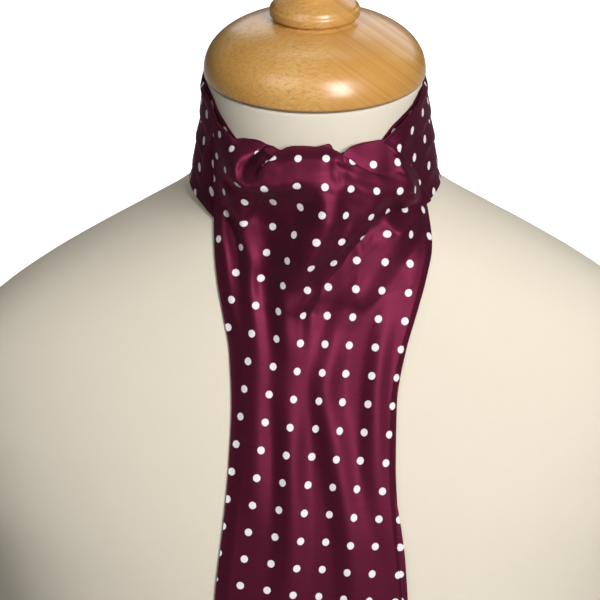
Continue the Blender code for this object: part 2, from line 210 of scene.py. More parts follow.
def quads(numbers):
    corners = [numbers[:-1, :-1], numbers[1:, :-1], numbers[1:, 1:], numbers[:-1, 1:]]
    return np.stack(corners, -1).reshape(-1, 4)


def clothShell(name, front, flat, thickness, look):
    # a closed thin wall behind a grid of points (rows run down, columns to +X), with half-round edges
    rows, columns = front.shape[:2]
    downWay = unit(np.gradient(front, axis=0))
    rightWay = unit(np.gradient(front, axis=1))
    outWay = unit(np.cross(downWay, rightWay))
    back = front - outWay * thickness
    edge = [(0, c) for c in range(columns)] + [(r, columns - 1) for r in range(1, rows)]
    edge += [(rows - 1, c) for c in range(columns - 2, -1, -1)] + [(r, 0) for r in range(rows - 2, 0, -1)]
    edge = tuple(np.array(edge).T)
    pastBottom = (edge[0] == rows - 1) * 1.0 - (edge[0] == 0)
    pastRight = (edge[1] == columns - 1) * 1.0 - (edge[1] == 0)
    rim = unit(downWay[edge] * pastBottom[:, None] + rightWay[edge] * pastRight[:, None])
    middle = (front[edge] + back[edge]) / 2
    size = rows * columns
    frontNumbers = np.arange(size).reshape(rows, columns)
    backNumbers = frontNumbers + size
    points = [front.reshape(-1, 3), back.reshape(-1, 3)]
    flats = [flat.reshape(-1, 2), flat.reshape(-1, 2)]
    faces = [quads(frontNumbers), quads(backNumbers)[:, ::-1]]
    rings = [frontNumbers[edge]]
    for k, turn in enumerate(np.radians([45, 90, 135])):  # round the edge, from the front to the back
        points.append(middle + (outWay[edge] * math.cos(turn) + rim * math.sin(turn)) * thickness / 2)
        flats.append(flat[edge])
        rings.append(2 * size + k * len(rim) + np.arange(len(rim)))
    rings.append(backNumbers[edge])
    for inner, outer in zip(rings, rings[1:]):
        faces.append(np.stack([inner, np.roll(inner, -1), np.roll(outer, -1), outer], -1))
    return meshPiece(name, np.concatenate(points), np.concatenate(faces), look, np.concatenate(flats))


def turnedPiece(name, profile, steps, look):
    # a solid turned about the neck's axis from (radius, height) points, first and last on the axis, top first
    profile = np.array(profile, float)
    ring = profile[1:-1]
    turn = np.linspace(0, 2 * math.pi, steps, endpoint=False)
    x = ring[:, :1] * np.sin(turn)
    y = -ring[:, :1] * np.cos(turn)
    body = np.stack([x, y, np.repeat(ring[:, 1:], steps, 1)], -1)
    points = np.concatenate([[[0, 0, profile[0, 1]]], body.reshape(-1, 3), [[0, 0, profile[-1, 1]]]])
    numbers = 1 + np.arange(len(ring) * steps).reshape(len(ring), steps)
    numbers = np.concatenate([numbers, numbers[:, :1]], 1)
    faces = quads(numbers).tolist()
    last = len(points) - 1
    faces += [[0, numbers[0, k], numbers[0, k + 1]] for k in range(steps)]
    faces += [[last, numbers[-1, k + 1], numbers[-1, k]] for k in range(steps)]
    return meshPiece(name, points, faces, look)


def flattened(front, row, column):
    # lays a grid of cloth out flat, its threads keeping their lengths as nearly as the shape allows: first
    # every 8th thread and at last all of them. Its rows and columns are 1 more than a multiple of 8.
    acrossLength = np.linalg.norm(front[:, 1:] - front[:, :-1], axis=-1)
    downLength = np.linalg.norm(front[1:] - front[:-1], axis=-1)
    fallLength = np.linalg.norm(front[1:, 1:] - front[:-1, :-1], axis=-1)
    riseLength = np.linalg.norm(front[1:, :-1] - front[:-1, 1:], axis=-1)
    u = np.concatenate([np.zeros((front.shape[0], 1)), np.cumsum(acrossLength, 1)], 1)
    v = np.concatenate([[0.0], np.cumsum(downLength[:, column])])
    u = u - u[:, column : column + 1]
    flat = np.stack([u, np.repeat(v[:, None], front.shape[1], 1)], -1)[::8, ::8]
    push = 0.21  # of what a thread is too long or too short by, at each of its ends
    for n in (8, 4, 2, 1):
        if n < 8:
            finer = np.empty((flat.shape[0] * 2 - 1, flat.shape[1] * 2 - 1, 2))
            finer[::2, ::2] = flat
            finer[1::2, ::2] = (flat[1:] + flat[:-1]) / 2
            finer[:, 1::2] = (finer[:, :-1:2] + finer[:, 2::2]) / 2
            flat = finer
        links = [
            (np.s_[:, :-1], np.s_[:, 1:], sum(acrossLength[::n, k::n] for k in range(n))),
            (np.s_[:-1], np.s_[1:], sum(downLength[k::n, ::n] for k in range(n))),
            (np.s_[:-1, :-1], np.s_[1:, 1:], sum(fallLength[k::n, k::n] for k in range(n))),
            (np.s_[:-1, 1:], np.s_[1:, :-1], sum(riseLength[k::n, n - 1 - k :: n] for k in range(n))),
        ]
        for _ in range(60 + 50 * n):
            for first, second, length in links:
                gap = flat[second] - flat[first]
                here = np.maximum(np.linalg.norm(gap, axis=-1), 1e-9)
                move = gap * ((1 - length / here) * push)[..., None]
                flat[first] += move
                flat[second] -= move
    return flat - flat[row, column]


class Wire:
    # one output of a node: an expression on it adds Math nodes
    def __init__(self, nodes, socket):
        self.nodes = nodes
        self.socket = socket

    def other(self, place):
        # another output of the same node
        return Wire(self.nodes, self.socket.node.outputs[place])

    def __add__(self, other):
        return self.nodes.maths("ADD", self, other)

    def __sub__(self, other):
        return self.nodes.maths("SUBTRACT", self, other)

    def __rsub__(self, other):
        return self.nodes.maths("SUBTRACT", other, self)

    def __mul__(self, other):
        return self.nodes.maths("MULTIPLY", self, other)

    __radd__ = __add__
    __rmul__ = __mul__


class Nodes:
    def __init__(self, tree):
        self.tree = tree

    def feed(self, socket, value):
        if isinstance(value, Wire):
            self.tree.links.new(value.socket, socket)
        elif socket.type == "RGBA" and len(value) == 3:
            socket.default_value = (*value, 1)
        else:
            socket.default_value = value

    def add(self, kind, settings, sockets, output=0):
        # a node of any type: its settings first, then its sockets' values or links, by their names or places
        node = self.tree.nodes.new(kind)
        for name, value in settings.items():
            setattr(node, name, value)
        for socket, value in sockets.items():
            self.feed(node.inputs[socket], value)
        return Wire(self, node.outputs[output])

    def maths(self, operation, *values):
        return self.add("ShaderNodeMath", {"operation": operation}, dict(enumerate(values)))

    def vectors(self, operation, *values, output=0):
        return self.add("ShaderNodeVectorMath", {"operation": operation}, dict(enumerate(values)), output)

    def places(self):
        return self.add("ShaderNodeTexCoord", {}, {}, "Object")

    def clothPlaces(self):
        return self.add("ShaderNodeUVMap", {"uv_map": "cloth"}, {})

    def noise(self, place, scale, detail=2.0, roughness=0.5, distortion=0.0, dimensions="3D"):
        sockets = {"Scale": scale, "Detail": detail, "Roughness": roughness, "Distortion": distortion}
        sockets["W" if dimensions == "1D" else "Vector"] = place
        return self.add("ShaderNodeTexNoise", {"noise_dimensions": dimensions}, sockets)

    def between(self, value, low, high, start=0.0, end=1.0):
        # goes smoothly from start to end while the value goes from low to high
        sockets = dict(enumerate((value, low, high, start, end)))
        return self.add("ShaderNodeMapRange", {"interpolation_type": "SMOOTHSTEP"}, sockets)

    def blend(self, share, first, second):
        return self.add("ShaderNodeMix", {"data_type": "RGBA"}, {0: share, 6: first, 7: second}, 2)

    def bumped(self, height, strength, distance):
        return self.add("ShaderNodeBump", {}, {"Height": height, "Strength": strength, "Distance": distance})


class Finish(Nodes):
    def __init__(self, name, constants):
        self.material = bpy.data.materials.new(name)
        self.material.use_nodes = True
        super().__init__(self.material.node_tree)
        self.shader = self.tree.nodes["Principled BSDF"]
        self.finishWith(constants)

    def finishWith(self, sockets):
        for socket, value in sockets.items():
            self.feed(self.shader.inputs[socket], value)
        return self.material


silkLook = {
    "burgundy": (0.128, 0.0125, 0.038),
    "deep": (0.098, 0.0090, 0.028),
    # painted sheen: a lighter burgundy for threads that catch the light
    "litThread": (0.17, 0.024, 0.060),
    "dot": (0.80, 0.77, 0.78),
    "dotThread": (0.72, 0.70, 0.70),
    "pitch": 14.8,  # between dots, along the cloth
    "dotSize": 4.05,
    "dotEdge": 0.010,  # how soft the print's edge is and how far it wanders, in pitches
    "dotWander": 0.012,
    "metallic": 0.8,
    "roughness": 0.51,
    "shader": {
        "Specular IOR Level": 0.3,
        "Specular Tint": (0.75, 0.45, 0.55),
        "Sheen Weight": 0.045,
        "Sheen Roughness": 0.5,
        "Sheen Tint": (1, 0.8, 0.87),
    },
}


def silkFinish():
    looks = silkLook
    silk = Finish("burgundy spotted silk", looks["shader"])
    place = silk.clothPlaces()
    pitch = looks["pitch"] * mm
    cells = silk.vectors("MULTIPLY", place, (1 / pitch, 1 / pitch, 0))
    inCell = silk.vectors("FRACTION", silk.vectors("ADD", cells, (0.5, 0.5, 0)))
    fromDot = silk.vectors("DISTANCE", inCell, (0.5, 0.5, 0), output="Value")
    fromDot = fromDot + (silk.noise(place, 900.0, 1.0) - 0.5) * looks["dotWander"]
    radius = looks["dotSize"] / looks["pitch"] / 2
    dot = silk.between(fromDot, radius - looks["dotEdge"], radius + looks["dotEdge"], 1.0, 0.0)
    threads = silk.noise(silk.vectors("MULTIPLY", place, (500.0, 4200.0, 0)), 1.0, 2.0)
    slub = silk.noise(silk.vectors("MULTIPLY", place, (45.0, 260.0, 0)), 1.0, 3.0)
    tone = silk.blend(slub, looks["deep"], looks["burgundy"])
    # painted sheen: where the thread noise is high the colour goes a fifth of the way to the lit-thread
    # colour
    tone = silk.blend(silk.between(threads, 0.35, 0.65, 0.0, 0.2), tone, looks["litThread"])
    printed = silk.blend(threads * 0.25, looks["dot"], looks["dotThread"])
    return silk.finishWith({
        "Base Color": silk.blend(dot, tone, printed),
        "Metallic": (1 - dot) * looks["metallic"],
        "Roughness": dot * 0.2 + (looks["roughness"] + threads * 0.08),
        "Normal": silk.bumped(threads, 0.12, 0.0001),
    })


jerseyLook = {
    "cream": (0.76, 0.70, 0.585),
    # painted shade and soiling: the darker cream that the gaps between stitches and the soiled patches go to
    "shade": (0.68, 0.61, 0.49),
    "wale": 1.25,
    "course": 0.95,
    "slant": 1.1,
    "shader": {"Roughness": 0.85, "Specular IOR Level": 0.25},
}


def jerseyFinish():
    looks = jerseyLook
    jersey = Finish("cream jersey", looks["shader"])
    place = jersey.clothPlaces()
    stitchSizes = (1 / (looks["wale"] * mm), 1 / (looks["course"] * mm), 0)
    acrossCloth = jersey.add("ShaderNodeSeparateXYZ", {}, {0: jersey.vectors("MULTIPLY", place, stitchSizes)})
    acrossStitch = jersey.maths("PINGPONG", acrossCloth, 0.5)
    loops = jersey.maths("PINGPONG", acrossCloth.other(1) + acrossStitch * looks["slant"], 0.5) * 2
    height = loops * 0.5 + jersey.maths("POWER", acrossStitch * 2, 0.5) * 0.5
    soiling = jersey.noise(jersey.places(), 9.0, 3.0)
    fuzz = jersey.noise(place, 2600.0, 2.0)
    return jersey.finishWith({
        # painted shade in the gaps between stitches: the colour darkens where the knit is low, and soiling
        # varies it at random
        "Base Color": jersey.blend(soiling * 0.5 + height * 0.25, looks["shade"], looks["cream"]),
        "Normal": jersey.bumped(height * 0.7 + fuzz * 0.5, 0.35, 0.00025),
    })


beechLook = {
    "honey": (0.58, 0.295, 0.068),
    "pale": (0.72, 0.44, 0.155),
    "lined": (0.56, 0.285, 0.070),
    # painted shadow: the dark brown of the line at the cap's foot, where it meets the neck
    "rim": (0.10, 0.035, 0.008),
    "fleck": (0.44, 0.19, 0.040),
    "lines": (0.50, 0.22, 0.045),
    # how far up the painted shadow at the cap's foot fades out
    "footShadowHeight": 0.0016,  # metres
    "shader": {"Coat Weight": 0.65, "Coat Roughness": 0.22, "Coat IOR": 1.5, "Specular IOR Level": 0.45},
}


def beechFinish(name, flecksTo, lineWay, footShadowAt):
    # flecks on the side up to flecksTo (metres along X), fine straight grain across lineWay beyond it, and a
    # painted shadow: a dark line at the cap's foot, up to the last height given
    looks = beechLook
    beech = Finish(name, looks["shader"])
    place = beech.places()
    cloud = beech.noise(place, 16.0, 3.0)
    wavy = beech.vectors("MULTIPLY_ADD", beech.noise(place, 60.0, 2.0), (0.01, 0.01, 0.01), place)
    flecks = beech.noise(beech.vectors("MULTIPLY", wavy, (300.0, 900.0, 1100.0)), 1.0, 3.0, 0.6, 0.8)
    flecks = beech.between(flecks, 0.42, 0.66)
    turned = beech.vectors("DOT_PRODUCT", place, lineWay, output="Value")
    bands = beech.noise(turned, 620.0, 4.0, 0.6, dimensions="1D")
    wide = beech.noise(turned, 110.0, dimensions="1D")
    lines = beech.between(bands * 0.7 + wide * 0.3 + cloud * 0.1, 0.46, 0.68)
    side = beech.add("ShaderNodeSeparateXYZ", {}, {0: place})
    straight = beech.between(side + (cloud - 0.5) * 0.05, flecksTo - 0.008, flecksTo + 0.012)
    base = beech.blend(beech.between(cloud, 0.3, 0.7), looks["honey"], looks["pale"])
    flecked = beech.blend(flecks * 0.65, base, looks["fleck"])
    lined = beech.blend(lines * 0.75, beech.blend(0.75, base, looks["lined"]), looks["lines"])
    # painted shadow at the cap's foot: nearly the dark colour below the given height, fading to none above it
    rim = beech.between(side.other(2), footShadowAt, footShadowAt + looks["footShadowHeight"], 0.9, 0.0)
    grain = flecks * (1 - straight) + lines * straight
    return beech.finishWith({
        "Base Color": beech.blend(rim, beech.blend(straight, flecked, lined), looks["rim"]),
        "Roughness": grain * 0.12 + 0.36,
        "Normal": beech.bumped(grain, 0.05, 0.0001),
    })


silk = silkFinish()
jersey = jerseyFinish()
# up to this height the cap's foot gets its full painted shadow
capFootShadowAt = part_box("neck_cap")[0].z + 0.6 * mm
capBeech = beechFinish("varnished beech of the cap", 0.004, (0.58, 0.30, 0.76), capFootShadowAt)
boardBeech = beechFinish("varnished beech of the board", -1.0, (0.05, 0.97, 0.2), -1.0)  # no flecks, no rim
report("finishes ready")


torso = {
    "shape": [  # down, half width, front, back
        (0, 56.6, 56.6, 56.6), (25, 57.4, 56.8, 58.2), (45, 59.2, 57.2, 62), (58, 63.5, 59, 66),
        (70, 78, 61.5, 72), (84, 102, 64.5, 80), (98, 127, 68, 87), (112, 150, 72.5, 93),
        (128, 172, 78, 98), (145, 189, 84, 102), (165, 200, 91, 105), (190, 205, 99, 107),
        (220, 202, 107, 108), (255, 191, 113, 107), (300, 177, 117, 102), (350, 163, 116, 95),
        (400, 152, 112, 89), (450, 147, 108, 86), (490, 149, 108, 90), (520, 154, 110, 96),
    ],
    "footTuck": 4.0,
    "footHeight": 20.0,
    "topRound": 1.3,
    "columns": 200,
}
formHalf, formFront, formBack = columnsOf(torso["shape"], 1, 2, 3)


def formRadius(toward, down):
    angle = np.radians(toward)
    depth = np.where(np.cos(angle) > 0, formFront(down), formBack(down))
    return 1 / np.hypot(np.sin(angle) / formHalf(down), np.cos(angle) / depth)


def formOut(across, down):
    share = np.minimum(0.995, np.abs(across) / formHalf(down))
    return formFront(down) * np.sqrt(1 - share * share)


def placed(across, out, down):
    # points in the frame's own directions
    across, out, down = np.broadcast_arrays(across, out, down)
    return np.stack([across, -out, neckTop - down], -1)


def outAt(radius, across):
    # how far forward something round is at a distance across
    return np.sqrt(np.maximum(1.0, radius**2 - across**2))


def atAngle(toward, radius, down):
    angle = np.radians(toward)
    return placed(radius * np.sin(angle), radius * np.cos(angle), down)


def makeTorso():
    sizes = torso
    length = neckTop - plinthTop
    downs = np.concatenate([  # closest at the two edges
        [0.0, 0.35, 0.8, 1.4, 3.0, 6.0],
        np.arange(10, 72, 3.0),
        np.arange(72, 190, 3.0),
        np.arange(190, length - 22, 7.0),
        length - np.array([20.0, 14, 9, 5, 2.5, 1, 0]),
    ])
    toward, down = np.meshgrid(np.linspace(-180, 180, sizes["columns"] + 1), downs)
    radius = formRadius(toward, down) - sizes["footTuck"] * rising(down, length - sizes["footHeight"], length)
    inTop = 1 - np.clip(down / sizes["topRound"], 0, 1)
    radius -= sizes["topRound"] * (1 - np.sqrt(1 - inTop**2))
    points = atAngle(toward, radius, down)
    around = np.cumsum(np.linalg.norm(np.diff(points, axis=1), axis=-1), 1)
    around = np.concatenate([np.zeros((len(downs), 1)), around], 1) - around[:, -1:] / 2
    flat = np.stack([around, down], -1)
    numbers = np.arange(points.size // 3).reshape(toward.shape)
    faces = quads(numbers).tolist()
    for row, flip in ((0, 1), (len(downs) - 1, -1)):
        ring = numbers[row, :-1]
        half = len(ring) // 2
        for k in range(half - 1):
            faces.append([int(ring[k]), int(ring[k + 1]), int(ring[-2 - k]), int(ring[-1 - k])][::flip])
    piece = meshPiece("jerseyTorso", points.reshape(-1, 3), faces, jersey, flat.reshape(-1, 2))
    welded(piece)
    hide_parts("form_torso")
    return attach(piece, "root")


capShape = {
    "fullness": 2.3,
    "rim": 3.0,  # from the foot up to the widest line
    "rimEdge": [(0.1, 0.7), (0.35, 1.3), (0.8, 1.9), (1.3, 2.3)],  # in and down from the widest line
    "seatIn": 2.5,  # the dome starts this far inside the finial's edge
    "steps": 220,
}


def makeCap():
    low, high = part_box("neck_cap")
    radius = high.x / mm
    foot, top = low.z / mm, high.z / mm
    widest = neckTop + capShape["rim"]
    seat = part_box("finial")[1].x / mm - capShape["seatIn"]
    fullness = capShape["fullness"]
    profile = [(0, top), (seat * 0.6, top), (seat - 0.5, top)]
    for turn in np.radians(np.linspace(0, 90, 46)):
        wide = mixed(seat, radius, math.sin(turn))
        profile.append((wide, widest + (top - widest) * (1 - (wide / radius) ** fullness) ** (1 / fullness)))
    profile[3] = (seat, top - 0.15)
    profile += [(radius - inward, widest - below) for inward, below in capShape["rimEdge"]]
    profile += [(radius - 1.9, foot), (radius - 8, foot), (0, foot)]
    piece = turnedPiece("turnedCap", profile, capShape["steps"], capBeech)
    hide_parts("neck_cap")
    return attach(piece, "root")


finialShape = {
    "top": [(0, 0), (2.5, 0.2), (4.2, 0.8)],  # radius, drop from the top
    "knob": [  # radius, rise above the foot
        (5, 50.5), (6, 48.5), (5.6, 46.6), (11.5, 44.2), (15.4, 39), (16.6, 33), (15.2, 27),
        (11.2, 22.2), (9.6, 19), (10.4, 15.4), (14, 11.8), (18.6, 9.4), (21.6, 7.4), (22.6, 5.6),
    ],
    "flange": [  # in from its edge, rise above the foot
        (0.35, 5.1), (0.05, 4.3), (0, 3.2), (0, 1.6), (0.3, 0.9), (0.8, 0.35), (1.4, 0), (6, 0),
    ],
    "steps": 160,
}


def makeFinial():
    low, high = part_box("finial")
    foot, wide = low.z / mm, high.x / mm
    profile = [(radius, high.z / mm - drop) for radius, drop in finialShape["top"]]
    profile += [(radius, foot + rise) for radius, rise in smoothPath(finialShape["knob"], 0.6)]
    profile += [(wide - inward, foot + rise) for inward, rise in finialShape["flange"]]
    profile.append((0, foot))
    piece = turnedPiece("turnedFinial", profile, finialShape["steps"], capBeech)
    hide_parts("finial")
    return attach(piece, "root")


boardShape = {"corner": 3.5, "ringIn": 30.0, "steps": 200}


def makeBoard():
    low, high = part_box("form_plinth")
    middleY = (low.y + high.y) / 2 / mm
    half = np.array([high.x - low.x, high.y - low.y]) / 2 / mm
    base, top = low.z / mm, high.z / mm
    corner, ringIn, steps = boardShape["corner"], boardShape["ringIn"], boardShape["steps"]
    turns = np.radians(np.linspace(0, 90, 7))
    profile = [(None, top), (ringIn, top)]  # in from the edge (None is the middle), height
    profile += [(corner * (1 - math.sin(t)), top - corner * (1 - math.cos(t))) for t in turns]
    profile += [(corner * (1 - math.cos(t)), base + corner * (1 - math.sin(t))) for t in turns]
    profile += [(ringIn, base), (None, base)]
    turn = np.linspace(0, 2 * math.pi, steps, endpoint=False)
    rings = []
    for inward, height in profile:
        wide, deep = half * 0.0 if inward is None else half - inward
        x, y = wide * np.sin(turn), middleY - deep * np.cos(turn)
        rings.append(np.stack([x, y, np.full(steps, height)], -1))
    points = np.concatenate(rings)
    numbers = np.arange(len(points)).reshape(len(profile), steps)
    faces = quads(np.concatenate([numbers, numbers[:, :1]], 1))
    piece = meshPiece("beechBoard", points, faces, boardBeech)
    welded(piece)
    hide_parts("form_plinth")
    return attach(piece, "root")


makeTorso()
makeCap()
makeFinial()
makeBoard()
report("dress form ready")


# the neck piece is one long stretch from under the blade round the left side, the back and the right side
neckPiece = {
    "thickness": 0.55,
    "cut": (0.42, 0.115),  # metres
    "cutArea": 0.0326,
    "pleatEdges": (4.0, 19.0, 33.0, 47.0),  # below the top edge
    "pleatDrop": 1.3,  # how far a pleat's lower edge stands out
    "pleatGap": 0.12,
    "tuck": 6.6,
    "pleatsRun": (-298.0, -62.0),  # toward
    "pleatFade": 46.0,  # degrees, at both ends of the pleats
    "rowsBelow": 8,  # of points, under the last pleat
    "dotsFrom": 5.2,  # above the top edge, where there are no pleats
    "dotRow": 35,  # the row of points that dots run along where there are pleats
    "dotsShift": 3.0,
    "dotsRadius": 62.0,  # how far from the axis the dots keep their spacing along the cloth
    "mmPerDegree": 1.1,
    "columns": 389,
    "ripples": [(0.25, 7, 5), (0.2, 3.1, -8)],  # height, and how fast a wave runs round and down
    "edges": [  # toward, top, bottom
        (-366, 33, 64), (-352, 22.5, 62), (-346, 20, 61), (-335, 19.4, 60), (-327, 18.4, 60),
        (-318, 13.8, 59), (-306, 9, 59), (-298, 6.6, 59), (-293, 4.4, 58), (-285, 2.2, 57), (-260, 1.6, 56),
        (-180, 2.4, 54), (-100, 1.6, 56), (-80, 2.6, 57), (-67, 6.5, 59), (-62, 10, 60), (-55, 14, 62),
        (-46, 17.8, 65), (-38, 23, 68), (-10, 34, 72), (22, 46, 76),
    ],
    "stand": [(0, 2), (12, 2.6), (22, 3.1), (40, 4.6), (50, 4.2), (58, 3.2), (70, 2.4)],  # down, outer side
    "flare": 0.5,  # further out on the right side of the neck
    "flareDown": 40,
    "left": {"radius": 60.4, "stand": 1.9, "tightens": (-62, -36)},  # tightens, opens, joins: toward
    "right": {
        "radius": 61.2,
        "stand": 3.0,
        "bulge": 3.4,
        "bulgeStarts": (0, 11),  # below the top edge
        "bulgeEnds": (60, 48),  # down
        "opens": (4, 13),
        "joins": (38, 60),
        "until": 62,
    },
    "folds": {  # along, down, lift, reach to the left, reach to the right
        "left ridge": [(-60, 9, 0.4, 3, 4), (-66, 20, 1.1, 3, 4), (-71, 33, 1, 3, 4), (-74, 46, 0, 3, 4)],
    },
    "strip": [  # toward, down, drop: the folded strip that shows beside the blade's hem
        (-332, 13, 0), (-328, 14.8, 1.2), (-322, 20, 1.8), (-316, 27, 1.9), (-305, 40.9, 1.8),
        (-297, 55.3, 1.2), (-294, 64, 0.4),
    ],
    "stripBend": 1.6,
    "stripFade": 6.0,
    "stripLap": 0.9,
}
neckTopEdge, neckBottomEdge = columnsOf(neckPiece["edges"], 1, 2)
neckStand = smoothThrough(neckPiece["stand"])


def wrapRadius(toward, down):
    # the outer side, without pleats: the left end is tight to the neck, the right end bulges where it shows
    sizes, left, right = neckPiece, neckPiece["left"], neckPiece["right"]
    turned = np.where(toward < -180, toward + 360, toward)
    form = formRadius(turned, down)
    flare = sizes["flare"] * eased(np.sin(np.radians(turned))) * rising(down, 0, sizes["flareDown"])
    band = form + neckStand(down) + flare
    tightLeft = np.maximum(left["radius"], form + left["stand"])
    tightRight = np.maximum(right["radius"], form + right["stand"])
    bulge = right["bulge"] * rising(down - neckTopEdge(toward), *right["bulgeStarts"])
    bulge = tightRight + bulge * rising(down, *right["bulgeEnds"])
    shown = mixed(tightRight, bulge, rising(turned, *right["opens"]))
    onRight = (toward < -180) & (turned < right["until"])
    leftSide = mixed(band, tightLeft, rising(toward, *left["tightens"]))
    rightSide = mixed(shown, band, rising(turned, *right["joins"]))
    return np.where(onRight, rightSide, np.where(toward > left["tightens"][0], leftSide, band))


def pleatedRows():
    # one way down the pleats: how far below the top edge each row of points is and how far out
    rows = []
    start, tuck, drop = 0.0, neckPiece["tuck"], neckPiece["pleatDrop"]
    bend = neckPiece["thickness"] + neckPiece["pleatGap"]
    for number, edge in enumerate(neckPiece["pleatEdges"]):
        visible = np.linspace(start, edge, 5 if number == 0 else 11)
        first = start if number == 0 else start - tuck
        rows += [(place, drop * ((place - first) / (edge - first))) for place in visible]
        for turn in np.radians([45, 90, 135, 180]):  # round the pleat's edge
            rows.append((edge + bend * 0.8 * math.sin(turn), drop - bend * (1 - math.cos(turn)) / 2))
        low = drop - bend
        rows += [(edge - tuck * 0.5, low * 0.75), (edge - tuck + 0.4, low * 0.35), (edge - tuck, low * 0.1)]
        start = edge
    return rows


def foldedStrip(along, down, radius):
    # a lower strip with an edge of its own, on the left of the line that "strip" gives
    sizes = neckPiece
    path = [(turn * sizes["mmPerDegree"], low, drop) for turn, low, drop in sizes["strip"]]
    distance, side, (drop,), wayAlong, wayDown = nearPath(smoothPath(path), along, down)
    signed = distance * np.sign(side)
    lowered = eased(0.5 - signed / sizes["stripBend"]) * np.exp(-np.maximum(0, -signed) / sizes["stripFade"])
    push = sizes["stripLap"] * np.minimum(1, drop) * np.sign(-side)
    push = push * np.exp(-((distance / sizes["stripBend"]) ** 2)) * np.minimum(1, distance / 0.5)
    return along + push * wayAlong, down + push * wayDown, radius + drop * lowered


def makeNeckPiece():
    sizes = neckPiece
    rows = pleatedRows()
    turns = np.linspace(sizes["edges"][0][0], sizes["edges"][-1][0], sizes["columns"])
    top, bottom = neckTopEdge(turns), neckBottomEdge(turns)
    pleatedFrom, pleatedTo = sizes["pleatsRun"]
    fromEnd = np.minimum(pleatedTo - turns, turns - pleatedFrom)
    fade = rising(fromEnd, 0, sizes["pleatFade"])
    heightFade = eased(2.5 * fromEnd / sizes["pleatFade"])
    underLast = sizes["pleatEdges"][-1] - sizes["tuck"] + 0.3
    below, height = [], []
    for k, even in enumerate(np.linspace(0, 1, len(rows) + sizes["rowsBelow"])):
        if k < len(rows):
            place, rise = rows[k]
        else:
            share = (k - len(rows)) / (sizes["rowsBelow"] - 1)
            place, rise = mixed(underLast, bottom - top, share), 0.6 * sizes["pleatDrop"] * share
        below.append(mixed(even * (bottom - top), place, fade))
        height.append((rise - 0.5 * sizes["pleatDrop"]) * heightFade)
    down = top + np.array(below)
    toward = np.repeat(turns[None, :], len(down), 0)
    along = toward * sizes["mmPerDegree"]
    radius = wrapRadius(toward, down) + np.array(height) + softFolds(sizes["folds"], along, down)
    along, down, radius = foldedStrip(along, down, radius)
    toward = along / sizes["mmPerDegree"]
    ripple = sum(rise * np.sin(np.radians(toward * a + down * b)) for rise, a, b in sizes["ripples"])
    front = atAngle(toward, radius + ripple, down)
    run = np.linalg.norm(np.diff(front, axis=0), axis=-1)
    lengths = np.concatenate([np.zeros((1, run.shape[1])), np.cumsum(run, 0)], 0)
    dotsFrom = mixed(sizes["dotsFrom"], 2 * silkLook["pitch"] - lengths[sizes["dotRow"]], fade)
    along = np.radians(toward) * sizes["dotsRadius"] + sizes["dotsShift"]
    flat = np.stack([along, lengths + dotsFrom], -1)
    piece = clothShell("neckPiece", front, flat, sizes["thickness"], silk)
    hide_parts("cravat_neck_band", "cravat_left_wrap", "cravat_right_wrap")
    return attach(piece, "root")


innerLayer = {
    "cut": (0.286, 0.016),
    "thickness": 0.5,
    "rises": (1.3, 0.5),  # above the outer edge on the left and on the right
    "stand": 0.95,
    "depth": 16.0,
    "run": (-326.0, -44.0),
    "endFade": 12,
    "dotsRadius": 58.0,
    "dotsShift": (9.0, 11.0),
    "columns": 240,
}


def makeInnerLayer():
    # the cloth's inner side, which shows as a second edge just above the outer one
    sizes = innerLayer
    start, end = sizes["run"]
    drops = np.concatenate([[0, 0.6, 1.3], np.linspace(2.5, sizes["depth"], 8)])
    toward, drop = np.meshgrid(np.linspace(start, end, sizes["columns"]), drops)
    fade = rising(np.minimum(toward - start, end - toward), 0, sizes["endFade"])
    wave = 1 + 0.35 * np.sin(np.radians(toward * 4.3)) + 0.2 * np.sin(np.radians(toward * 9.7 + 40))
    rise = mixed(-1.2, mixed(*sizes["rises"], rising(toward, -180, -270)), fade) * wave
    down = neckTopEdge(toward) - rise + drop
    turned = np.where(toward < -180, toward + 360, toward)
    radius = formRadius(turned, down) + sizes["stand"] - 0.15 * eased(1 - drop / 1.3)
    front = atAngle(toward, radius, down)
    flat = np.stack([np.radians(toward) * sizes["dotsRadius"], drop], -1) + np.array(sizes["dotsShift"])
    piece = clothShell("neckPieceInner", front, flat, sizes["thickness"], silk)
    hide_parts("cravat_neck_band")
    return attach(piece, "root")


makeNeckPiece()
makeInnerLayer()
report("neck piece ready")


